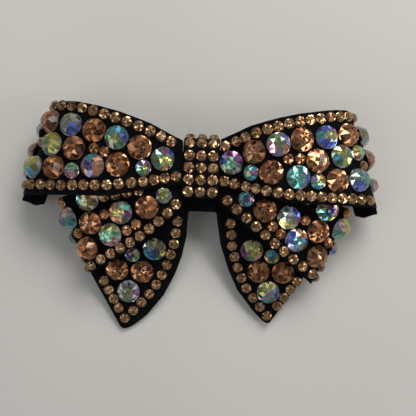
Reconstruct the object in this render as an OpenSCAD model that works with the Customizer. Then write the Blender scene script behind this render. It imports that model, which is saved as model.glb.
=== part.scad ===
// Rhinestone hair bow on a sprung barrette. The bow lies on its closed clasp: X runs to the right
// along the clasp, Y up the bow, Z out of its front. The origin is under the middle of the clasp arm.

/* [Felt] */
// Thickness of the flocked felt
felt_t = 0.8; // [0.7:0.05:0.8]
// Slant of the upper loops' fold, up and outwards
upper_slant = 17.6; // [16:0.2:19]
// Slant of the lower loops, down and outwards
lower_slant = 25.5; // [24:0.5:27]
// How far the tail piece sits off centre
tail_offset = 0.6; // [0:0.1:0.6]
// Width of the centre band
band_w = 9.6; // [9.2:0.1:9.6]
// Corner radius of the centre band where it wraps the loops
band_r = 1.6; // [1:0.1:1.9]

/* [Stones] */
// Diameter of the large stones
large_d = 6.3; // [6:0.1:6.3]
// Diameter of the small crystal stones
small_d = 4.2; // [3.8:0.1:4.2]
// Diameter of the edge stones and of the smallest fillers
edge_d = 2.8; // [2.4:0.1:2.8]
// Height of a stone over its diameter
stone_rise = 0.42; // [0.36:0.01:0.44]

/* [Barrette] */
// Half the length of the base plate
plate_half = 30; // [29.8:0.1:30.2]
// Width of the base plate
plate_w = 8; // [7.6:0.2:8.4]
// Radius that the base plate is bent to
plate_bend = 165; // [163:1:175]
// Thickness of the base plate
plate_t = 0.7; // [0.6:0.05:0.7]
// Height of the base plate's underside above the clasp arm's, at the middle
plate_z = 8.2; // [8.2:0.05:8.3]
// Radius of the hinge pin
pin_r = 0.5; // [0.4:0.05:0.55]
// Radial running clearance of the hinge and the catch ears
running = 0.05; // [0.03:0.01:0.06]

/* [Hidden] */
$fn = 48;
felt_colour = "#141416";
copper_colour = "#c98a5e";
champagne_colour = "#b98d5f";
crystal_colour = "#a8c6c8";
steel_colour = "#b9bbbe";

// Heights, from the table up
pad_z = plate_z + plate_t;
tail_z = pad_z + 0.8;
strap_z = tail_z + felt_t;
strap_t = 0.6;
lower_z = strap_z + strap_t;
upper_z = lower_z + 2 * felt_t;
band_z = upper_z + 2 * felt_t;
arc_step = 9;
waist = 3;

// ---- Bent felt ----
// A path is a list of [length, turn] runs, straight where the turn is 0 and an arc elsewhere.
// A state along it is [distance out, height, heading].
function moved(st, run, turn) =
    turn == 0
        ? [st[0] + run * cos(st[2]), st[1] + run * sin(st[2]), st[2]]
        : let (r = run / (turn * PI / 180), h = st[2] + turn)
            [st[0] + r * (sin(h) - sin(st[2])), st[1] - r * (cos(h) - cos(st[2])), h];
function walked(path, s, st, i = 0) =
    i == len(path) ? moved(st, s, 0)
        : s <= path[i][0] ? moved(st, s, path[i][1] * s / path[i][0])
        : walked(path, s - path[i][0], moved(st, path[i][0], path[i][1]), i + 1);
function total(path, i = 0) = i == len(path) ? 0 : path[i][0] + total(path, i + 1);
function marks(path, i = 0, s = 0) =
    i == len(path) ? [s]
        : let (n = max(1, ceil(abs(path[i][1]) / arc_step)))
            concat([for (k = [0:n - 1]) s + path[i][0] * k / n], marks(path, i + 1, s + path[i][0]));
function edge_of(path, start, side) =
    [for (s = marks(path)) let (p = walked(path, s, start))
        [p[0] - side * sin(p[2]), p[1] + side * cos(p[2])]];
function reversed(a) = [for (i = [len(a) - 1:-1:0]) a[i]];

// How far along a path its distance out reaches w
function along(path, start, w, low, high, n = 16) =
    let (mid = (low + high) / 2)
        n == 0 ? mid
        : walked(path, mid, start)[0] < w ? along(path, start, w, mid, high, n - 1)
        : along(path, start, w, low, mid, n - 1);

// The back of a loop, from its fold to the waist: round the fold, then up at rise and level again
function back_path(fold, r, rise, level_z, ease) =
    let (low = moved(fold, r * (90 + rise) * PI / 180, -90 - rise),
        climb = (level_z - low[1] - ease * (1 - cos(rise))) / sin(rise),
        flat = low[0] - climb * cos(rise) - ease * sin(rise) + waist)
        [[r * (90 + rise) * PI / 180, -90 - rise], [climb, 0], [ease * rise * PI / 180, rise], [flat, 0]];

// A panel is [slant, start, path of the face that carries its stones, length of that path to the
// fold], and a loop adds its front path, its fold and its back path
function loop_of(slant, start, front, r, rise, level_z, ease) =
    let (fold = walked(front, total(front), start),
        back = back_path(fold, r, rise, level_z, ease))
        [slant, start, concat(front, [back[0]]), total(front), front, fold, back];
function pushed_in(path, d) = [for (i = [0:len(path) - 1]) i == 0 ? [path[0][0] - d, 0] : path[i]];

// Upper loops: flat in the band, up over a crown, down to a wide fold, and back
upper_start = [-waist, upper_z + 1.5 * felt_t, 0];
upper_front = [[9.8, 0], [4.5, 30], [2, 0], [7, -34], [14.8, -14], [6.5, -14], [6.2, -58]];
upper = loop_of(upper_slant, upper_start, upper_front, 3, 15.5, upper_z + felt_t / 2, 8);

// Lower loops: flatter, with a tight fold. The left one is pushed further into the band.
lower_start = [-waist, lower_z + 1.5 * felt_t, 0];
lower_front = [[10.4, 0], [3, 10], [8, -16], [16, -8], [4.5, -4], [4.4, -72]];
lower_right = loop_of(-lower_slant, lower_start, lower_front, 2, 17, lower_z + felt_t / 2, 6);
lower_left = loop_of(-lower_slant, lower_start, pushed_in(lower_front, 2.4), 2, 17,
    lower_z + felt_t / 2, 6);

// Tails: level under the band, then down to the table
tail_start = [-5, tail_z + felt_t / 2, 0];
tail_front = [[13, 0], [5, -20], [12, 0], [8, 10], [18, 0]];
tail = [-90, tail_start, tail_front, total(tail_front)];

// Plan outlines, in mm from the middle of the band. Each is drawn as for the right-hand side.
upper_right_top = [[60, 15.8], [41, 16.3], [38, 16.9], [33.2, 16.4], [25.4, 14.9], [20.2, 13.6],
    [12.4, 11.1], [4.9, 7.6], [4.9, 3.6], [0, 3.6]];
upper_left_top = [[60, 15.2], [39.7, 15.6], [38.2, 16.2], [35.1, 16.4], [32.2, 16], [26.7, 14.9],
    [21.3, 13.5], [13.5, 10.8], [4.9, 6.9], [4.9, 3.6], [0, 3.6]];
upper_front_low = [[0, -4.8], [5, -4.8], [9, -5.3], [13.5, -6.1], [22.7, -8.4], [46, -8.8], [60, -8.8]];
upper_back_low = [[0, -4.8], [4.8, -4.8], [5.6, 2.6], [36, -5.2], [42, -8.7], [42.8, -11.2],
    [45.5, -11.7], [48, -10.6], [60, -8.8]];
lower_right_front = [[0, -6.9], [4.9, -6.9], [4.9, -8.8], [30, -29.3], [44, -42], [54, -9.8],
    [42, -9.8], [5, 2], [4.8, 4], [0, 4]];
lower_right_back = [[0, -6.9], [4.9, -6.9], [9, -5.5], [34, -25.2], [54, -44], [54, -9.8],
    [42, -9.8], [5, 2], [4.8, 4], [0, 4]];
lower_left_front = [[0, -6.9], [4.9, -6.9], [4.9, -10.3], [10.3, -15.8], [18.2, -22.3], [26.2, -27.8],
    [42, -41], [52, -9.8], [40, -9.8], [5, 1.4], [4.8, 4], [0, 4]];
lower_left_back = [[0, -6.9], [4.9, -6.9], [8, -6.5], [31.6, -26.2], [52, -44], [52, -9.8],
    [40, -9.8], [5, 1.4], [4.8, 4], [0, 4]];
tail_right_plan = [[0, 5], [4.8, 5], [5, -7.2], [7.2, -8.2], [30.4, -26.2], [20.1, -42], [19.2, -42.2],
    [17.8, -41.3], [15, -38.5], [10.6, -33], [7.8, -27.2], [5.4, -20.4], [4.2, -14], [3.9, -11.6],
    [0, -11.6]];
tail_left_plan = [[0, 5], [4.8, 5], [5, -7.2], [7.2, -8.2], [27, -25.6], [30.2, -29.7], [21.7, -44.6],
    [20.8, -45.3], [19.4, -45], [17.5, -43.8], [14.2, -41], [9.8, -35.3], [6.8, -29.3], [5, -24],
    [3.8, -18], [3.6, -11.6], [0, -11.6]];

module bent(slant, path, start, plan) {
    intersection() {
        rotate([0, 0, slant])
            rotate([90, 0, 0])
                linear_extrude(height = 140, center = true)
                    polygon(concat(edge_of(path, start, felt_t / 2),
                        reversed(edge_of(path, start, -felt_t / 2))));
        translate([0, 0, -5])
            linear_extrude(height = 40)
                polygon(plan);
    }
}

module loop(panel, front_plan, back_plan) {
    bent(panel[0], panel[4], panel[1], front_plan);
    bent(panel[0], panel[6], panel[5], back_plan);
}
module upper_loop(top) {
    loop(upper, concat(upper_front_low, top), concat(upper_back_low, top));
}

// The tail piece is glued on a little off centre
module offset_tail() {
    translate([tail_offset, 0, 0]) children();
}
module tail_half(plan) {
    bent(tail[0], tail_front, tail_start, plan);
}

// The band wraps both loops: flat over the front, then over the top edge in one round bend
band_bottom = -8;
band_bend_y = 3.3;
band_bend_r = band_z + felt_t - strap_z;
module band_section(shrink, floor_z) {
    translate([band_bottom + shrink, floor_z])
        square([band_bend_y - band_bottom - shrink, band_z + felt_t - shrink - floor_z]);
    intersection() {
        translate([band_bend_y, strap_z]) circle(band_bend_r - shrink);
        translate([band_bend_y, floor_z]) square(20);
    }
}
module rounded_section() {
    difference() {
        band_section(0, strap_z);
        translate([band_bottom, band_z + felt_t]) square(2 * band_r, center = true);
    }
    translate([band_bottom + band_r, band_z + felt_t - band_r]) circle(band_r);
}
module band() {
    rotate([90, 0, 90])
        linear_extrude(height = band_w, center = true)
            difference() {
                rounded_section();
                band_section(felt_t, lower_z);
            }
}

pad_half = 13;
module pad() {
    difference() {
        translate([-pad_half, -plate_w / 2, plate_z])
            cube([2 * pad_half, plate_w, tail_z - plate_z]);
        plate_barrel(plate_bend + plate_t);
    }
}

// ---- Stones ----
// A flat-backed stone: a thin girdle, then a crown up to a flat table
module stone(d) {
    h = stone_rise * d;
    rotate_extrude()
        polygon([[0, 0], [d / 2, 0], [d / 2, h * 0.18], [d * 0.27, h], [0, h]]);
}

// Thickness of the glue under a stone where the felt is curved
glue_t = 0.04;

// Places on a panel are [distance along the felt from the waist, distance across it]. A stone lies
// along the chord of the felt under it, and clear of it where the felt is curved.
function on_face(st) = [st[0] - felt_t / 2 * sin(st[2]), st[1] + felt_t / 2 * cos(st[2])];
module on_panel(panel, place, d) {
    under = [for (k = [-4:4])
        on_face(walked(panel[2], place[0] - panel[1][0] + k * d / 8, panel[1]))];
    chord = under[8] - under[0];
    heading = atan2(chord[1], chord[0]);
    rises = [for (p = under) (p - under[4]) * [-sin(heading), cos(heading)]];
    flat_here = max(rises) - min(rises) < 0.002;
    rotate([0, 0, panel[0]])
        translate([under[4][0], place[1], under[4][1]])
            rotate([0, -heading, 0])
                translate([0, 0, flat_here ? 0 : max(rises) + glue_t])
                    stone(d);
}
function flat(panel, p) =
    let (w = p[0] * cos(panel[0]) + p[1] * sin(panel[0]),
        t = -p[0] * sin(panel[0]) + p[1] * cos(panel[0]))
        [along(panel[2], panel[1], w, 0, panel[3]) + panel[1][0], t];

// A row of stones along a line of plan points, evenly spaced on the felt
function row_length(a, i = 1) = i == len(a) ? 0 : norm(a[i] - a[i - 1]) + row_length(a, i + 1);
function on_row(a, s, i = 1) =
    let (d = norm(a[i] - a[i - 1]))
        s <= d || i == len(a) - 1 ? a[i - 1] + (a[i] - a[i - 1]) * s / d
        : on_row(a, s - d, i + 1);
module stone_row(panel, count, plan) {
    row = [for (p = plan) flat(panel, p)];
    for (k = [0:count - 1])
        on_panel(panel, on_row(row, row_length(row) * k / (count - 1)), edge_d);
}
module stones(panel, places, d) {
    for (p = places)
        on_panel(panel, p, d);
}

// Rows of edge stones, as plan points drawn for the right-hand side. The upper right rows open a
// little where the felt turns up out of the band, so that their stones stay apart.
upper_right_top_first = [6.2, 5.8];
upper_right_top_row = [[9.15, 7.12], [14, 9.3], [22.4, 12], [32.6, 14.3], [39.8, 15]];
upper_right_bottom_first = [[6.2, -3.36], [9.04, -3.88]];
upper_right_bottom_row = [[12.17, -4.45], [14, -4.8], [22.8, -6.3], [34, -6.7], [44.8, -7]];
upper_left_top_row = [[8.2, 6.5], [16.5, 9.9], [24.6, 12.5], [32.2, 14.5], [38.7, 15.2], [40.2, 14.9]];
upper_left_bottom_row = [[6.4, -2.6], [15.2, -4.3], [24.3, -5.6], [36.4, -6.1], [46.4, -6.4]];
lower_right_bottom_row = [[7.3, -8.4], [15, -14.9], [23, -21.5], [31.8, -28.2]];
lower_right_top_row = [[13.5, -2.5], [28.5, -7.2]];
lower_left_bottom_row = [[6.3, -9.9], [9.8, -13.8], [14.9, -18.2], [20.1, -21.8], [25.1, -24.8],
    [29.4, -28]];
lower_left_top_row = [[16.2, -6.6], [25.4, -8.5]];
tail_right_inner_row = [[7.9, -14.3], [8.6, -21], [10.8, -28], [13.6, -33.1], [19.2, -39.9]];
tail_right_cut_row = [[21.9, -36.9], [27, -29.8]];
tail_left_inner_row = [[6.4, -14.4], [7.3, -20.9], [9.4, -27.5], [12.3, -33], [16.1, -37.8],
    [20.4, -42.1]];
tail_left_cut_row = [[22.2, -39.2], [26.4, -31.6]];

// Large and small stones, as places on each panel
upper_right_copper = [[15.1, 0], [17.9, -6.2], [27.7, -0.2], [30.2, -6.5], [34.1, -12.8], [40.8, -2],
    [47.9, -9.5]];
upper_right_crystal = [[8.2, -1], [21.4, 0.2], [24.1, -9.3], [34.4, -1.2], [37.1, -7], [40.4, -14.2],
    [46.9, -3.1]];
upper_right_small_crystal = [[12.8, -4.8], [28.9, -11.7], [42.4, -7.2], [46.6, -16.6]];
upper_right_small_copper = [[22.9, -4.1], [25.9, -4.8], [43.4, -10.9]];
upper_left_copper = [[17.35, -0.68], [21, -6.7], [29.9, -0.4], [33.6, -6.5], [37.2, -12.9],
    [43, -1.8], [48.3, -10.8]];
upper_left_crystal = [[10.6, -1.3], [23.6, -0.3], [27, -9.2], [36.6, -1], [40.1, -7.4], [43.3, -14.7],
    [48.7, -4.5]];
upper_left_small_crystal = [[14.7, -5.25], [32, -12.2], [48.1, -16.9]];
upper_left_small_copper = [[25.4, -4.8], [28.3, -4.8], [44.8, -7.8]];
lower_right_copper = [[20.2, -2.1], [35.7, -0.4], [38.6, -6.5]];
lower_right_crystal = [[26.7, -0.9], [31.5, -5.15], [35.2, 5.9], [41, 3.1]];
lower_right_small_crystal = [[14.4, -1.8], [43, -2.7]];
lower_right_small_copper = [[24, -4.9], [26.9, -5.7], [31.2, 0.5], [39.9, -1.8], [42.9, -8.6],
    [40.8, 7.7]];
lower_left_copper = [[17.2, -3.9], [33.2, -1.7], [36.6, -7.6]];
lower_left_crystal = [[24.2, -2.4], [29.3, -6.7], [31.2, 4.4], [38.3, 1.9]];
lower_left_small_crystal = [[12, -2.9], [41.2, -3.4]];
lower_left_small_copper = [[21.7, -6.9], [24.7, -7.4], [28.7, -1.1], [37.6, -2.9], [41.3, -9.9],
    [38.7, 6.6]];
tail_right_copper = [[28.3, 16.2], [28.3, 22.9]];
tail_right_crystal = [[22.1, 14], [34.2, 19.2]];
tail_right_small_crystal = [[23.7, 19.6]];
tail_left_copper = [[29.6, 15.8], [29.2, 22.7]];
tail_left_crystal = [[22.8, 12.5], [35.5, 19.5]];
tail_left_small_crystal = [[24.7, 18.6]];

band_columns = [-1:1];
band_rows = [0:5];
band_pitch = 3.15;
first_row = 1.55;
module band_grid() {
    centre_r = band_bend_r - felt_t / 2;
    front = [[band_bend_y - band_bottom, 0], [centre_r * PI / 2, -90]];
    over = [90, [0, band_z + felt_t / 2, 0], front];
    translate([0, band_bottom, 0])
        for (x = band_columns, row = band_rows)
            on_panel(over, [first_row + band_pitch * row, band_pitch * x], edge_d);
}

// ---- Barrette ----
module plate_barrel(r) {
    translate([0, 0, plate_z - plate_bend])
        rotate([90, 0, 0])
            cylinder(h = 40, r = r, center = true, $fn = 240);
}

hinge_x = -29;
hinge_z = 1.5;
knuckle_r = 1.3;
knuckle_w = 4.8;
lug_t = 0.7;
lug_inner = knuckle_w / 2 + 0.2;
catch_x = 28;
ear_root_y = 1.65;
ear_root_z = 5.1;
ear_root_r = 0.45;
sewing_hole_x = 20;
rivet_x = 23.5;
rivet_r = 0.6;
bar_half = 25;
bar_w = 3.6;
bar_t = 0.5;
bar_z = 5.25;
bar_bend = 600;

module hinge_bore(r) {
    translate([hinge_x, 0, hinge_z])
        rotate([90, 0, 0])
            cylinder(h = 12, r = r, center = true);
}

module plate() {
    difference() {
        union() {
            intersection() {
                difference() {
                    plate_barrel(plate_bend + plate_t);
                    plate_barrel(plate_bend);
                }
                translate([-plate_half, -plate_w / 2, 0])
                    cube([2 * plate_half, plate_w, 12]);
            }
            lugs();
            catch_block();
        }
        for (x = [-1, 1]) {
            translate([x * sewing_hole_x, 0, 0]) cylinder(h = 12, r = 0.8);
            translate([x * rivet_x, 0, 0]) cylinder(h = 12, r = rivet_r);
        }
        hinge_bore(pin_r);
    }
}
module lugs() {
    difference() {
        for (side = [-1, 1])
            translate([0, side * (lug_inner + lug_t / 2), 0])
                rotate([90, 0, 0])
                    linear_extrude(height = lug_t, center = true) {
                        translate([hinge_x, hinge_z]) circle(knuckle_r);
                        translate([hinge_x - 1, hinge_z]) square([2 * knuckle_r, 5]);
                    }
        difference() {
            translate([-40, -10, 0]) cube([20, 20, 20]);
            plate_barrel(plate_bend + plate_t / 2);
        }
    }
}
// A small block under the plate, with a groove for the root of each catch ear
catch_block_w = 2.6;
module catch_block() {
    difference() {
        translate([catch_x - catch_block_w / 2, -2.6, ear_root_z])
            cube([catch_block_w, 5.2, 1.3]);
        for (side = [-1, 1])
            translate([catch_x, side * ear_root_y, ear_root_z])
                rotate([0, 90, 0])
                    cylinder(h = 4, r = ear_root_r + running, center = true);
        difference() {
            translate([20, -10, 0]) cube([20, 20, 20]);
            plate_barrel(plate_bend + plate_t / 2);
        }
    }
}

module bar() {
    difference() {
        intersection() {
            translate([0, 0, bar_z + bar_bend])
                rotate([90, 0, 0])
                    difference() {
                        cylinder(h = bar_w, r = bar_bend, center = true, $fn = 240);
                        cylinder(h = bar_w + 1, r = bar_bend - bar_t, center = true, $fn = 240);
                    }
            translate([-bar_half, -bar_w / 2, 0])
                cube([2 * bar_half, bar_w, 8]);
        }
        for (x = [-1, 1])
            translate([x * rivet_x, 0, 0]) cylinder(h = 12, r = rivet_r);
    }
}

module rivets() {
    head_z = bar_z + pow(rivet_x, 2) / (2 * bar_bend) - 0.02;
    for (x = [-1, 1])
        translate([x * rivet_x, 0, head_z - 0.35]) {
            cylinder(h = 2.6, r = rivet_r);
            cylinder(h = 0.35, r = 1.1);
        }
}

pin_half = lug_inner + lug_t + 0.4;
module pin() {
    translate([hinge_x, 0, hinge_z])
        rotate([90, 0, 0]) {
            cylinder(h = 2 * pin_half, r = pin_r, center = true);
            for (side = [-1, 1])
                translate([0, 0, side * (pin_half - 0.15)])
                    cylinder(h = 0.3, r = pin_r * 1.5, center = true);
        }
}

arm_t = 0.8;
arm_end = 31.5;
window = [26.5, 29.6];
window_half = 2.35;
module arm_side() {
    polygon([[hinge_x, 0], [21, 0], [24.4, 1.2], [arm_end, 1.2], [arm_end, 1.2 + arm_t],
        [24.1, 1.2 + arm_t], [20.7, arm_t], [hinge_x, arm_t]]);
}
module arm_plan() {
    polygon([[hinge_x, -2.4], [-25.5, -2.4], [-23.5, -3.2], [30.5, -3.2], [arm_end, -2.2],
        [arm_end, 2.2], [30.5, 3.2], [-23.5, 3.2], [-25.5, 2.4], [hinge_x, 2.4]]);
}
module arm() {
    difference() {
        union() {
            intersection() {
                rotate([90, 0, 0])
                    linear_extrude(height = 10, center = true) arm_side();
                linear_extrude(height = 10) arm_plan();
            }
            translate([hinge_x, 0, hinge_z])
                rotate([90, 0, 0])
                    cylinder(h = knuckle_w, r = knuckle_r, center = true);
        }
        hinge_bore(pin_r + running);
        translate([window[0], -window_half, -1])
            cube([window[1] - window[0], 2 * window_half, 5]);
    }
}

// A sprung catch ear: its root in the block's groove, a blade down through the arm's window with a
// barb at its foot, and a finger tab out to the side
ear_w = 2;
module ear() {
    translate([catch_x, ear_root_y, ear_root_z])
        rotate([90, 0, 90])
            linear_extrude(height = ear_w, center = true) {
                circle(ear_root_r);
                translate([-0.25, 0.3 - ear_root_z]) square([0.5, ear_root_z - 0.3]);
                polygon([[0.25, 0.3 - ear_root_z], [0.6, 1.0 - ear_root_z], [0.25, 1.0 - ear_root_z]]);
            }
    translate([catch_x - 2.4, ear_root_y, 3.2]) cube([4.8, 3.2, 0.55]);
    translate([catch_x - 2.4, ear_root_y + 2.7, 2.4]) cube([4.8, 0.5, 1.3]);
}

// ---- Nodes ----
module large_and_small(panel, large, small, filler_d) {
    stones(panel, large, large_d);
    stones(panel, small, filler_d);
}
module left() { mirror([1, 0, 0]) children(); }

module upper_loop_left() { color(felt_colour) left() upper_loop(upper_left_top); }
module upper_loop_right() { color(felt_colour) upper_loop(upper_right_top); }
module lower_loop_left() {
    color(felt_colour) left() loop(lower_left, lower_left_front, lower_left_back);
}
module lower_loop_right() { color(felt_colour) loop(lower_right, lower_right_front, lower_right_back); }
module tail_panel() {
    color(felt_colour) offset_tail() {
        tail_half(tail_right_plan);
        left() tail_half(tail_left_plan);
    }
}
module centre_band() { color(felt_colour) band(); }
module back_pad() { color(felt_colour) pad(); }
module upper_left_edge_stones() {
    color(champagne_colour) left() {
        stone_row(upper, 13, upper_left_top_row);
        stone_row(upper, 15, upper_left_bottom_row);
    }
}
module upper_right_edge_stones() {
    color(champagne_colour) {
        stones(upper, [flat(upper, upper_right_top_first)], edge_d);
        stone_row(upper, 13, upper_right_top_row);
        stone_row(upper, 2, upper_right_bottom_first);
        stone_row(upper, 13, upper_right_bottom_row);
    }
}
module lower_left_edge_stones() {
    color(champagne_colour) left() {
        stone_row(lower_left, 4, lower_left_top_row);
        stone_row(lower_left, 11, lower_left_bottom_row);
    }
}
module lower_right_edge_stones() {
    color(champagne_colour) {
        stone_row(lower_right, 5, lower_right_top_row);
        stone_row(lower_right, 11, lower_right_bottom_row);
    }
}
module tail_left_edge_stones() {
    color(champagne_colour) offset_tail() left() {
        stone_row(tail, 11, tail_left_inner_row);
        stone_row(tail, 4, tail_left_cut_row);
    }
}
module tail_right_edge_stones() {
    color(champagne_colour) offset_tail() {
        stone_row(tail, 10, tail_right_inner_row);
        stone_row(tail, 4, tail_right_cut_row);
    }
}
module upper_left_copper_stones() {
    color(copper_colour) left()
        large_and_small(upper, upper_left_copper, upper_left_small_copper, edge_d);
}
module upper_right_copper_stones() {
    color(copper_colour)
        large_and_small(upper, upper_right_copper, upper_right_small_copper, edge_d);
}
module lower_left_copper_stones() {
    color(copper_colour) left()
        large_and_small(lower_left, lower_left_copper, lower_left_small_copper, edge_d);
}
module lower_right_copper_stones() {
    color(copper_colour)
        large_and_small(lower_right, lower_right_copper, lower_right_small_copper, edge_d);
}
module tail_left_copper_stones() {
    color(copper_colour) offset_tail() left() stones(tail, tail_left_copper, large_d);
}
module tail_right_copper_stones() {
    color(copper_colour) offset_tail() stones(tail, tail_right_copper, large_d);
}
module upper_left_crystal_stones() {
    color(crystal_colour) left()
        large_and_small(upper, upper_left_crystal, upper_left_small_crystal, small_d);
}
module upper_right_crystal_stones() {
    color(crystal_colour)
        large_and_small(upper, upper_right_crystal, upper_right_small_crystal, small_d);
}
module lower_left_crystal_stones() {
    color(crystal_colour) left()
        large_and_small(lower_left, lower_left_crystal, lower_left_small_crystal, small_d);
}
module lower_right_crystal_stones() {
    color(crystal_colour)
        large_and_small(lower_right, lower_right_crystal, lower_right_small_crystal, small_d);
}
module tail_left_crystal_stones() {
    color(crystal_colour) offset_tail() left()
        large_and_small(tail, tail_left_crystal, tail_left_small_crystal, small_d);
}
module tail_right_crystal_stones() {
    color(crystal_colour) offset_tail()
        large_and_small(tail, tail_right_crystal, tail_right_small_crystal, small_d);
}
module band_stones() { color(champagne_colour) band_grid(); }
module base_plate() { color(steel_colour) plate(); }
module tension_bar() { color(steel_colour) bar(); }
module bar_rivets() { color(steel_colour) rivets(); }
module hinge_pin() { color(steel_colour) pin(); }
module clasp_arm() { color(steel_colour) arm(); }
module upper_catch_ear() { color(steel_colour) ear(); }
module lower_catch_ear() { color(steel_colour) mirror([0, 1, 0]) ear(); }

upper_loop_left();
upper_loop_right();
lower_loop_left();
lower_loop_right();
tail_panel();
centre_band();
back_pad();
upper_left_edge_stones();
upper_right_edge_stones();
lower_left_edge_stones();
lower_right_edge_stones();
tail_left_edge_stones();
tail_right_edge_stones();
upper_left_copper_stones();
upper_right_copper_stones();
lower_left_copper_stones();
lower_right_copper_stones();
tail_left_copper_stones();
tail_right_copper_stones();
upper_left_crystal_stones();
upper_right_crystal_stones();
lower_left_crystal_stones();
lower_right_crystal_stones();
tail_left_crystal_stones();
tail_right_crystal_stones();
band_stones();
base_plate();
tension_bar();
bar_rivets();
hinge_pin();
clasp_arm();
upper_catch_ear();
lower_catch_ear();
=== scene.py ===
"""The rhinestone hair bow, dressed around its CAD frame: cut stones, flocked felt, nickelled clasp."""
import math
import random

import bmesh
import bpy
import numpy as np
from mathutils import Matrix, Vector, noise


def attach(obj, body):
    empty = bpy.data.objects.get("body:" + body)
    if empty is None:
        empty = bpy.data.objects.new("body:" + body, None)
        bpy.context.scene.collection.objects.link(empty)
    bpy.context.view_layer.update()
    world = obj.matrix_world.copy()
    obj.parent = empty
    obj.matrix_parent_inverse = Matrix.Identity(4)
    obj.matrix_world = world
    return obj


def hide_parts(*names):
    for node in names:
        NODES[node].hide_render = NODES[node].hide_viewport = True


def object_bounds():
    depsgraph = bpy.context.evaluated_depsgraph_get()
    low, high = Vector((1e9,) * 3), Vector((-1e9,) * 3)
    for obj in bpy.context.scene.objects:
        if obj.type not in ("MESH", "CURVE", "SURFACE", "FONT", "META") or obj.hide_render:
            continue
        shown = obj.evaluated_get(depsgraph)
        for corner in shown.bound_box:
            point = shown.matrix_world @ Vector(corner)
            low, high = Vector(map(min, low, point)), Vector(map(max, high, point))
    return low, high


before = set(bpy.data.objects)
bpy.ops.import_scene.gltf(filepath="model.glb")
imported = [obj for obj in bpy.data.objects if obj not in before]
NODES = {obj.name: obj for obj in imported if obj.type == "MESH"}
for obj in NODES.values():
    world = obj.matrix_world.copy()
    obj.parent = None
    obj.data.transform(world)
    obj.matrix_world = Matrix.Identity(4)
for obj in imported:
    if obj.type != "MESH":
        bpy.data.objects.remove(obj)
CAD_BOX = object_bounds()
BODY = "bow"
MM = 0.001
TABLE_SIZE = 12.0
TABLE_GAP = 0.02 * MM  # under the lowest point of the bow
FELT_VOXEL = 0.28 * MM
FELT_RIPPLE = 0.03 * MM
WELD = 1e-6  # corners closer than this are one corner
FIRST_STONE_SEED = 100


def srgb(r, g, b):
    """An 8-bit display colour as linear numbers."""
    def linear(v):
        v /= 255
        return v / 12.92 if v <= 0.04045 else ((v + 0.055) / 1.055) ** 2.4
    return (linear(r), linear(g), linear(b))


# ---------------------------------------------------------------- camera, floor and light
CAMERA_AT = (2.24 * MM, -10.53 * MM, 200 * MM)
CAMERA_ROLL = 2.2
CAMERA_LENS = 61.4
SPARKS = 7  # small lamps in an uneven ring overhead, which the facets pick up as points of light


def make_camera():
    data = bpy.data.cameras.new("camera")
    data.lens, data.sensor_width = CAMERA_LENS, 36
    data.clip_start, data.clip_end = 0.01, 20
    camera = bpy.data.objects.new("camera", data)
    camera.location = CAMERA_AT
    camera.rotation_euler = (0, 0, math.radians(CAMERA_ROLL))
    bpy.context.collection.objects.link(camera)
    bpy.context.scene.camera = camera


def aim(place, target=(0, 0, 0)):
    return (Vector(target) - Vector(place)).to_track_quat("-Z", "Y").to_euler()


def area_light(name, place, size, power, colour=(1, 1, 1)):
    data = bpy.data.lights.new(name, "AREA")
    data.shape, data.size, data.size_y = "RECTANGLE", size[0], size[1]
    data.energy, data.color = power, colour
    lamp = bpy.data.objects.new(name, data)
    lamp.location, lamp.rotation_euler = place, aim(place)
    bpy.context.collection.objects.link(lamp)


def make_lights():
    area_light("key", (0.15, 0.38, 0.36), (0.36, 0.24), 2.1, (1.0, 0.985, 0.955))
    area_light("low", (0.34, -0.06, 0.26), (0.12, 0.10), 0.20, (1.0, 0.975, 0.94))
    area_light("side", (-0.34, -0.16, 0.40), (0.30, 0.30), 0.30, (0.97, 0.985, 1.0))
    for k in range(SPARKS):
        turn = math.radians(20 + k * 51.4)
        reach = 0.42 if k % 2 else 0.78
        place = (reach * math.cos(turn), reach * math.sin(turn), 1.0)
        area_light(f"spark_{k}", place, (0.04, 0.04), 0.06)


def make_world():
    """An uneven grey room for the facets to mirror, seen as a plain pale one past the table."""
    world = bpy.data.worlds.new("studio")
    bpy.context.scene.world = world
    world.use_nodes = True
    nt = world.node_tree
    nt.nodes.clear()
    out = nt.nodes.new("ShaderNodeOutputWorld")
    coords = nt.nodes.new("ShaderNodeTexCoord")
    cells = nt.nodes.new("ShaderNodeTexVoronoi")
    cells.feature, cells.inputs["Scale"].default_value = "F1", 3.4
    ramp = nt.nodes.new("ShaderNodeValToRGB")
    ramp.color_ramp.interpolation = "LINEAR"
    stops = ramp.color_ramp.elements
    stops[0].position, stops[0].color = 0.12, (0.03, 0.03, 0.033, 1)
    stops[1].position, stops[1].color = 1.0, (0.80, 0.80, 0.82, 1)
    mid = stops.new(0.55)
    mid.color = (0.20, 0.20, 0.205, 1)
    light = nt.nodes.new("ShaderNodeBackground")
    plain = nt.nodes.new("ShaderNodeBackground")
    plain.inputs["Color"].default_value = (0.62, 0.61, 0.59, 1)
    path = nt.nodes.new("ShaderNodeLightPath")
    mix = nt.nodes.new("ShaderNodeMixShader")
    nt.links.new(coords.outputs["Generated"], cells.inputs["Vector"])
    nt.links.new(cells.outputs["Color"], ramp.inputs["Fac"])
    nt.links.new(ramp.outputs["Color"], light.inputs["Color"])
    nt.links.new(path.outputs["Is Camera Ray"], mix.inputs["Fac"])
    nt.links.new(light.outputs["Background"], mix.inputs[1])
    nt.links.new(plain.outputs["Background"], mix.inputs[2])
    nt.links.new(mix.outputs["Shader"], out.inputs["Surface"])


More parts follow.
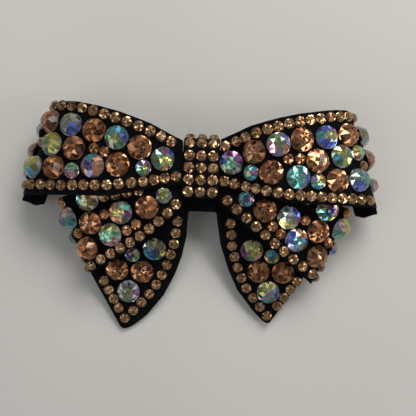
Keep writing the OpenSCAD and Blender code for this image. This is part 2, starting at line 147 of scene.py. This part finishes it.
# ---------------------------------------------------------------- materials
class Look:
    """A node material with one Principled shader, and short words for its usual nodes."""

    def __init__(self, name):
        self.material = bpy.data.materials.new(name)
        self.material.use_nodes = True
        self.tree = self.material.node_tree
        self.tree.nodes.clear()
        self.shader = self.node("ShaderNodeBsdfPrincipled")
        out = self.node("ShaderNodeOutputMaterial")
        self.link(self.shader.outputs["BSDF"], out.inputs["Surface"])

    def node(self, kind, **settings):
        made = self.tree.nodes.new(kind)
        for key, value in settings.items():
            setattr(made, key, value)
        return made

    def link(self, a, b):
        self.tree.links.new(a, b)

    def fixed(self, **values):
        for key, value in values.items():
            self.shader.inputs[key.replace("_", " ")].default_value = value

    def coords(self, stretch=(1, 1, 1)):
        coords = self.node("ShaderNodeTexCoord")
        mapping = self.node("ShaderNodeMapping")
        mapping.inputs["Scale"].default_value = stretch
        self.link(coords.outputs["Object"], mapping.inputs["Vector"])
        return mapping.outputs["Vector"]

    def noise(self, where, scale, detail=2, roughness=0.5):
        tex = self.node("ShaderNodeTexNoise")
        tex.inputs["Scale"].default_value = scale
        tex.inputs["Detail"].default_value = detail
        tex.inputs["Roughness"].default_value = roughness
        self.link(where, tex.inputs["Vector"])
        return tex.outputs["Fac"]

    def ramp(self, value, *stops):
        ramp = self.node("ShaderNodeValToRGB")
        marks = ramp.color_ramp.elements
        while len(marks) < len(stops):
            marks.new(0.5)
        for mark, (place, colour) in zip(marks, stops):
            mark.position = place
            mark.color = (*colour, 1) if len(colour) == 3 else colour
        self.link(value, ramp.inputs["Fac"])
        return ramp.outputs["Color"]

    def spread(self, value, low, high, start=0.0, end=1.0):
        out = self.node("ShaderNodeMapRange")
        for key, number in (("From Min", start), ("From Max", end), ("To Min", low), ("To Max", high)):
            out.inputs[key].default_value = number
        self.link(value, out.inputs["Value"])
        return out.outputs["Result"]

    def mix(self, share, a, b, blend="MIX"):
        mix = self.node("ShaderNodeMix", data_type="RGBA", blend_type=blend)
        for socket, value in (("Factor", share), ("A", a), ("B", b)):
            target = next(s for s in mix.inputs
                          if s.name == socket and s.type in ("VALUE", "RGBA") and s.enabled)
            if isinstance(value, (int, float)):
                target.default_value = value
            elif isinstance(value, tuple):
                target.default_value = (*value, 1)
            else:
                self.link(value, target)
        return next(s for s in mix.outputs if s.enabled)

    def bump(self, height, strength, distance, under=None):
        bump = self.node("ShaderNodeBump")
        bump.inputs["Strength"].default_value = strength
        bump.inputs["Distance"].default_value = distance
        self.link(height, bump.inputs["Height"])
        if under is not None:
            self.link(under, bump.inputs["Normal"])
        return bump.outputs["Normal"]


def felt_look():
    look = Look("black_flock")
    where = look.coords()
    fibre = look.noise(where, 9000, 3, 0.7)
    patch = look.noise(where, 260, 3)
    lint = look.noise(look.coords((1, 0.25, 1)), 5200, 1)
    base = look.ramp(fibre, (0.3, (0.0008, 0.0010, 0.0014)), (0.75, (0.0032, 0.0036, 0.0046)))
    base = look.mix(look.spread(patch, 0.0, 0.45, 0.4, 0.75), base, (0.0045, 0.0055, 0.0078))
    base = look.mix(look.spread(lint, 0.0, 0.35, 0.80, 0.88), base, (0.06, 0.065, 0.07))
    look.link(base, look.shader.inputs["Base Color"])
    look.link(look.spread(fibre, 0.82, 1.0), look.shader.inputs["Roughness"])
    soft = look.bump(patch, 0.25, 0.00025)
    look.link(look.bump(fibre, 0.55, 0.00012, soft), look.shader.inputs["Normal"])
    look.fixed(Sheen_Weight=0.045, Sheen_Roughness=0.4, Sheen_Tint=(0.5, 0.62, 0.9, 1),
               Specular_IOR_Level=0.10)
    return look.material


def gem_look(name, metal, roughness, coat):
    """Foil seen through a cut crown: each facet's colour and inner tilt under a clear coat; on the
    copper and champagne stones the facet colours hold painted highlights and painted shade.
    """
    look = Look(name)
    colour = look.node("ShaderNodeAttribute", attribute_name="facet_colour")
    inner = look.node("ShaderNodeAttribute", attribute_name="facet_normal")
    turn = look.node("ShaderNodeVectorTransform", vector_type="NORMAL", convert_from="OBJECT",
                     convert_to="WORLD")
    streak = look.noise(look.coords(), 1500, 2)
    tint = look.mix(look.spread(streak, 0.0, 0.3), colour.outputs["Color"], (0.02, 0.015, 0.012),
                    "MULTIPLY")
    look.link(tint, look.shader.inputs["Base Color"])
    look.link(inner.outputs["Vector"], turn.inputs["Vector"])
    look.link(turn.outputs["Vector"], look.shader.inputs["Normal"])
    look.link(look.spread(streak, roughness * 0.7, roughness * 1.4), look.shader.inputs["Roughness"])
    look.fixed(Metallic=metal, Coat_Weight=coat, Coat_Roughness=0.03, Coat_IOR=1.55)
    return look.material


def steel_look():
    """Nickel plate, brushed along the clasp."""
    look = Look("nickelled_steel")
    brushed = look.noise(look.coords((60, 2600, 2600)), 1, 3, 0.6)
    stain = look.noise(look.coords(), 180, 4, 0.6)
    worn = look.node("ShaderNodeBevel", samples=4)
    worn.inputs["Radius"].default_value = 0.00018
    base = look.mix(look.spread(stain, 0.0, 0.5, 0.35, 0.8), (0.60, 0.60, 0.61), (0.42, 0.41, 0.39))
    base = look.mix(look.spread(brushed, 0.0, 0.35), base, (0.75, 0.75, 0.76))
    look.link(base, look.shader.inputs["Base Color"])
    look.link(look.spread(brushed, 0.22, 0.42), look.shader.inputs["Roughness"])
    look.link(look.bump(brushed, 0.12, 0.00002, worn.outputs["Normal"]), look.shader.inputs["Normal"])
    look.fixed(Metallic=1.0)
    return look.material


def floor_look():
    look = Look("pale_table")
    where = look.coords()
    tone = look.noise(where, 9, 2)
    grit = look.noise(where, 2400, 2)
    base = look.ramp(tone, (0.3, (0.64, 0.628, 0.59)), (0.7, (0.70, 0.688, 0.652)))
    base = look.mix(look.spread(grit, 0.0, 0.08), base, (0.3, 0.3, 0.29), "MULTIPLY")
    look.link(base, look.shader.inputs["Base Color"])
    look.link(look.bump(grit, 0.08, 0.0001), look.shader.inputs["Normal"])
    look.fixed(Roughness=0.7, Specular_IOR_Level=0.25)
    return look.material


# ---------------------------------------------------------------- making pieces
def add_piece(name, mesh, material, slot, replaces):
    piece = bpy.data.objects.new(name, mesh)
    bpy.context.collection.objects.link(piece)
    mesh.materials.clear()
    mesh.materials.append(material)
    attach(piece, BODY)
    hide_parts(replaces)
    return piece


def islands(mesh):
    """Each separate solid of a mesh, as arrays of its triangles' corners, one row per triangle."""
    bm = bmesh.new()
    bm.from_mesh(mesh)
    bmesh.ops.remove_doubles(bm, verts=bm.verts, dist=WELD)
    bmesh.ops.triangulate(bm, faces=bm.faces)
    bm.faces.index_update()
    seen, out = set(), []
    for first in bm.faces:
        if first.index in seen:
            continue
        seen.add(first.index)
        todo, group = [first], []
        while todo:
            face = todo.pop()
            group.append([v.co[:] for v in face.verts])
            for edge in face.edges:
                for near in edge.link_faces:
                    if near.index not in seen:
                        seen.add(near.index)
                        todo.append(near)
        out.append(np.array(group))
    bm.free()
    return out


def seat(corners):
    """Where a CAD stone sits: the middle of its flat back, its axis out of the felt, and its radius."""
    cross = np.cross(corners[:, 1] - corners[:, 0], corners[:, 2] - corners[:, 0])
    area = np.linalg.norm(cross, axis=1)
    unit = cross / np.maximum(area, 1e-15)[:, None]
    same = unit @ unit.T > 0.9995  # triangles that face the same way
    back = same[np.argmax(same @ area)]
    middle = (corners[back].mean(axis=1) * area[back, None]).sum(axis=0) / area[back].sum()
    axis = -unit[back].mean(axis=0)
    axis /= np.linalg.norm(axis)
    radius = np.linalg.norm(corners[back].reshape(-1, 3) - middle, axis=1).max()
    return middle, axis, radius


# The cut, in radii: table, its inner star, the crown's waist, and the girdle over the flat back
TABLE_R, CORE_R, WAIST_R, GIRDLE_R = 0.54, 0.25, 0.83, 0.995
TOP_Z, WAIST_Z, GIRDLE_Z = 0.84, 0.5, 0.15


def cut():
    """The corners and facets of one stone of radius 1, each facet with its kind and its number."""
    def ring(count, radius, z, shift=0.0):
        return [(radius * math.cos(2 * math.pi * (k + shift) / count),
                 radius * math.sin(2 * math.pi * (k + shift) / count), z) for k in range(count)]
    corners = [(0, 0, TOP_Z)] + ring(8, CORE_R, TOP_Z, 0.5) + ring(8, TABLE_R, TOP_Z)
    corners += ring(8, WAIST_R, WAIST_Z, 0.5) + ring(16, GIRDLE_R, GIRDLE_Z) + ring(16, GIRDLE_R, 0)
    core, table, waist, girdle, back = 1, 9, 17, 25, 41
    facets = []
    for k in range(8):
        n, p = (k + 1) % 8, (k - 1) % 8
        g0, g1, g2 = 2 * k, 2 * k + 1, (2 * k + 2) % 16
        facets += [
            ("core", k, (0, core + k, core + n)),
            ("ring", k, (table + k, table + n, core + k)),
            ("ring", k + 8, (core + p, table + k, core + k)),
            ("star", k, (table + k, waist + k, table + n)),
            ("kite", k, (table + k, waist + p, girdle + g0)),
            ("kite", k + 8, (table + k, girdle + g0, waist + k)),
            ("rim", k, (waist + k, girdle + g0, girdle + g1)),
            ("rim", k + 8, (waist + k, girdle + g1, girdle + g2)),
            ("side", k, (girdle + g0, back + g0, back + g1, girdle + g1)),
            ("side", k + 8, (girdle + g1, back + g1, back + g2, girdle + g2))]
    facets.append(("back", 0, tuple(back + k for k in reversed(range(16)))))
    return np.array(corners), facets


CORNERS, FACETS = cut()


def blend(a, b, share):
    return tuple(x + (y - x) * share for x, y in zip(a, b))


def scaled(colour, share):
    return tuple(x * share for x in colour)


# Warm stones, four tones each: two glass body tones, then a painted highlight tone and a painted shade
# tone for the dark wedges
COPPER_GLASS_AND_PAINTED_LIGHT = [srgb(196, 128, 84), srgb(164, 102, 62), srgb(238, 182, 136), srgb(96, 54, 34)]
CHAMPAGNE_GLASS_AND_PAINTED_LIGHT = [srgb(190, 144, 100), srgb(158, 114, 74), srgb(236, 198, 150), srgb(100, 66, 42)]
AURORA_TABLES = [srgb(176, 172, 112), srgb(150, 160, 120), srgb(140, 212, 172), srgb(156, 166, 86),
                 srgb(156, 164, 158), srgb(64, 74, 128), srgb(206, 198, 122), srgb(128, 184, 172)]
AURORA_FLASHES = [srgb(70, 190, 215), srgb(70, 110, 235), srgb(80, 185, 170), srgb(150, 60, 140),
                  srgb(225, 220, 70), srgb(240, 160, 180), srgb(245, 165, 105), srgb(120, 176, 120),
                  srgb(150, 150, 196), srgb(168, 176, 152), srgb(160, 172, 160), srgb(140, 130, 70),
                  srgb(214, 212, 120), srgb(110, 196, 160)]
AURORA_RIM = srgb(166, 170, 178)


def warm_colours_with_painted_light(tones, draw):
    """One stone of a single glass colour: mostly even, with painted shade as darker wedges and darker
    side and rim facets, and painted highlights as a few bright facets.
    """
    body = blend(tones[0], tones[1], draw.random())

    def colour(kind, k):
        # painted highlight: most facets pulled a little, a few pulled far, towards the bright tone
        tone = blend(body, tones[2], 0.8 * draw.random() ** 2)
        # painted shade: darker wedges, more often on the core and ring facets of the table
        dark = draw.random()
        if kind in ("core", "ring") and dark < 0.34 or dark < 0.2:
            tone = blend(tone, scaled(tones[3], 0.35), 0.5 + 0.4 * draw.random())
        # painted shade on about half of the side and rim facets
        return scaled(tone, 0.55) if kind in ("side", "rim") and draw.random() < 0.5 else tone
    return colour


def aurora_colours(draw):
    """One stone with an iridescent coat: a quiet table, flashes round it, and a grey-lilac rim."""
    table = draw.choice(AURORA_TABLES)
    sectors = [draw.choice(AURORA_FLASHES)]
    for _ in range(7):
        sectors.append(sectors[-1] if draw.random() < 0.4 else draw.choice(AURORA_FLASHES))

    def colour(kind, k):
        sector = sectors[k % 8]
        if kind == "core":
            return blend(table, sector, 0.15 * draw.random())
        if kind == "ring":
            return blend(table, sector, 0.75 if draw.random() < 0.25 else 0.1)
        if kind in ("star", "kite"):
            return blend(sector, AURORA_RIM, 0.35 * draw.random())
        return blend(AURORA_RIM, sector, 0.6 * draw.random())
    return colour


# How far the foil behind each kind of facet seems to lean, as a slope, lowest and highest
LEAN = {"core": (0.03, 0.22), "ring": (0.05, 0.34), "star": (0.12, 0.5), "kite": (0.1, 0.6),
        "rim": (0.2, 0.8), "side": (0.8, 1.2), "back": (0, 0)}


def inner_normal(kind, centre, draw):
    """The normal of the foil behind a facet, which leans outwards or, a little less often, inwards."""
    low, high = LEAN[kind]
    outwards = math.atan2(centre[1], centre[0])
    turn = outwards + (math.pi if draw.random() < 0.45 else 0) + draw.gauss(0, 0.5)
    lean = draw.uniform(low, high)
    normal = Vector((lean * math.cos(turn), lean * math.sin(turn), -1 if kind == "back" else 1))
    return normal.normalized()


def make_stones(node, material, slot, colours, seed):
    """One piece with a cut stone in the place of each of a CAD node's stones."""
    corners, faces, tones, normals = [], [], [], []
    seats = sorted((seat(part) for part in islands(NODES[node].data)),
                   key=lambda s: tuple(np.round(s[0], 5)))
    draw = random.Random(seed)
    for middle, axis, radius in seats:
        spin = Matrix.Rotation(draw.uniform(0, math.tau), 3, "Z")
        turn = Vector(axis).to_track_quat("Z", "Y").to_matrix() @ spin
        colour = colours(draw)
        start = len(corners)
        corners += list(CORNERS * radius @ np.array(turn).T + middle)
        for kind, k, loop in FACETS:
            faces.append([start + v for v in loop])
            tones.append(colour(kind, k))
            centre = CORNERS[list(loop)].mean(axis=0)
            normals.append(turn @ inner_normal(kind, centre, draw))
    mesh = bpy.data.meshes.new(f"cut_{node}")
    mesh.from_pydata(corners, [], faces)
    sizes = [len(face) for face in faces]
    # on the copper and champagne stones these facet colours include painted highlights and painted
    # shade
    tint = mesh.attributes.new("facet_colour", "FLOAT_COLOR", "CORNER")
    tint.data.foreach_set("color", np.repeat([(*t, 1) for t in tones], sizes, axis=0).ravel())
    lean = mesh.attributes.new("facet_normal", "FLOAT_VECTOR", "CORNER")
    lean.data.foreach_set("vector", np.repeat([n[:] for n in normals], sizes, axis=0).ravel())
    mesh.shade_flat()
    add_piece(f"cut_{node}", mesh, material, slot, node)


# ---------------------------------------------------------------- felt
def evaluated(mesh, *modifiers):
    """A copy of a mesh after the modifiers given as (type, settings)."""
    carrier = bpy.data.objects.new("carrier", mesh.copy())
    bpy.context.collection.objects.link(carrier)
    for kind, settings in modifiers:
        modifier = carrier.modifiers.new(kind, kind)
        for key, value in settings.items():
            setattr(modifier, key, value)
    graph = bpy.context.evaluated_depsgraph_get()
    out = bpy.data.meshes.new_from_object(carrier.evaluated_get(graph))
    bpy.data.objects.remove(carrier)
    return out


def make_felt(node, material, seed):
    """A felt piece on its CAD node, with soft edges and a slight ripple."""
    mesh = evaluated(NODES[node].data, ("WELD", {"merge_threshold": WELD}),
                     ("REMESH", {"mode": "VOXEL", "voxel_size": FELT_VOXEL, "adaptivity": 0.0}),
                     ("SMOOTH", {"factor": 0.5, "iterations": 4}))
    count = len(mesh.vertices)
    place = np.empty(count * 3)
    mesh.vertices.foreach_get("co", place)
    place = place.reshape(-1, 3)
    shift = Vector((seed * 0.013, seed * 0.031, seed * 0.007))
    lift = np.array([noise.noise((Vector(p) + shift) * 320)
                     + 0.5 * noise.noise((Vector(p) - shift) * 900) for p in place])
    normals = np.empty(count * 3)
    mesh.vertex_normals.foreach_get("vector", normals)
    place += normals.reshape(-1, 3) * (lift * FELT_RIPPLE)[:, None]
    mesh.vertices.foreach_set("co", place.ravel())
    mesh.update()
    mesh.name = f"felt_{node}"
    mesh.shade_smooth()
    return add_piece(f"felt_{node}", mesh, material, "black_felt", node)


def make_floor():
    far = TABLE_SIZE / 2
    mesh = bpy.data.meshes.new("table")
    corners = [(-far, -far, 0), (far, -far, 0), (far, far, 0), (-far, far, 0)]
    mesh.from_pydata(corners, [], [(0, 1, 2, 3)])
    floor = bpy.data.objects.new("table", mesh)
    floor.location.z = CAD_BOX[0][2] - TABLE_GAP
    bpy.context.collection.objects.link(floor)
    mesh.materials.append(floor_look())


# ---------------------------------------------------------------- the whole object
make_camera()
make_lights()
make_world()
make_floor()

# The felt pieces: the rectangle each is cut from in metres, the share of it that is felt, how the
# piece is held, and what it rests on
FELTS = {
    "tail_panel": ((0.061, 0.052), 0.38, "laid", ["base_plate"]),
    "lower_loop_left": ((0.085, 0.040), 0.35, "folded", ["tail_panel"]),
    "lower_loop_right": ((0.085, 0.040), 0.35, "folded", ["tail_panel"]),
    "upper_loop_left": ((0.096, 0.030), 0.62, "folded", ["lower_loop_left"]),
    "upper_loop_right": ((0.096, 0.030), 0.62, "folded", ["lower_loop_right"]),
    "centre_band": ((0.010, 0.037), 1.0, "folded", ["upper_loop_left", "upper_loop_right"]),
    "back_pad": ((0.026, 0.010), 0.96, "laid", ["base_plate"])}
black_felt = felt_look()
felts = {}
for number, (name, (cut_size, share, held, under)) in enumerate(FELTS.items()):
    felts[name] = make_felt(name, black_felt, number)
    [felts.get(other, NODES[other]) for other in under]

STONES = {
    "copper": (gem_look("copper_glass", 0.90, 0.13, 0.35), "copper_stone",
               lambda draw: warm_colours_with_painted_light(COPPER_GLASS_AND_PAINTED_LIGHT, draw)),
    "crystal": (gem_look("aurora_glass", 0.75, 0.11, 0.45), "aurora_stone", aurora_colours),
    "champagne": (gem_look("champagne_glass", 0.90, 0.15, 0.35), "champagne_stone",
                  lambda draw: warm_colours_with_painted_light(CHAMPAGNE_GLASS_AND_PAINTED_LIGHT, draw))}
for number, name in enumerate(sorted(n for n in NODES if n.endswith("_stones"))):
    kind = next((k for k in ("copper", "crystal") if k in name), "champagne")
    make_stones(name, *STONES[kind], FIRST_STONE_SEED + number)

steel = steel_look()
for name in ("base_plate", "tension_bar", "clasp_arm", "bar_rivets", "hinge_pin",
             "upper_catch_ear", "lower_catch_ear"):
    for material_slot in NODES[name].material_slots:
        material_slot.material = steel

bpy.context.scene.view_settings.view_transform = "Standard"
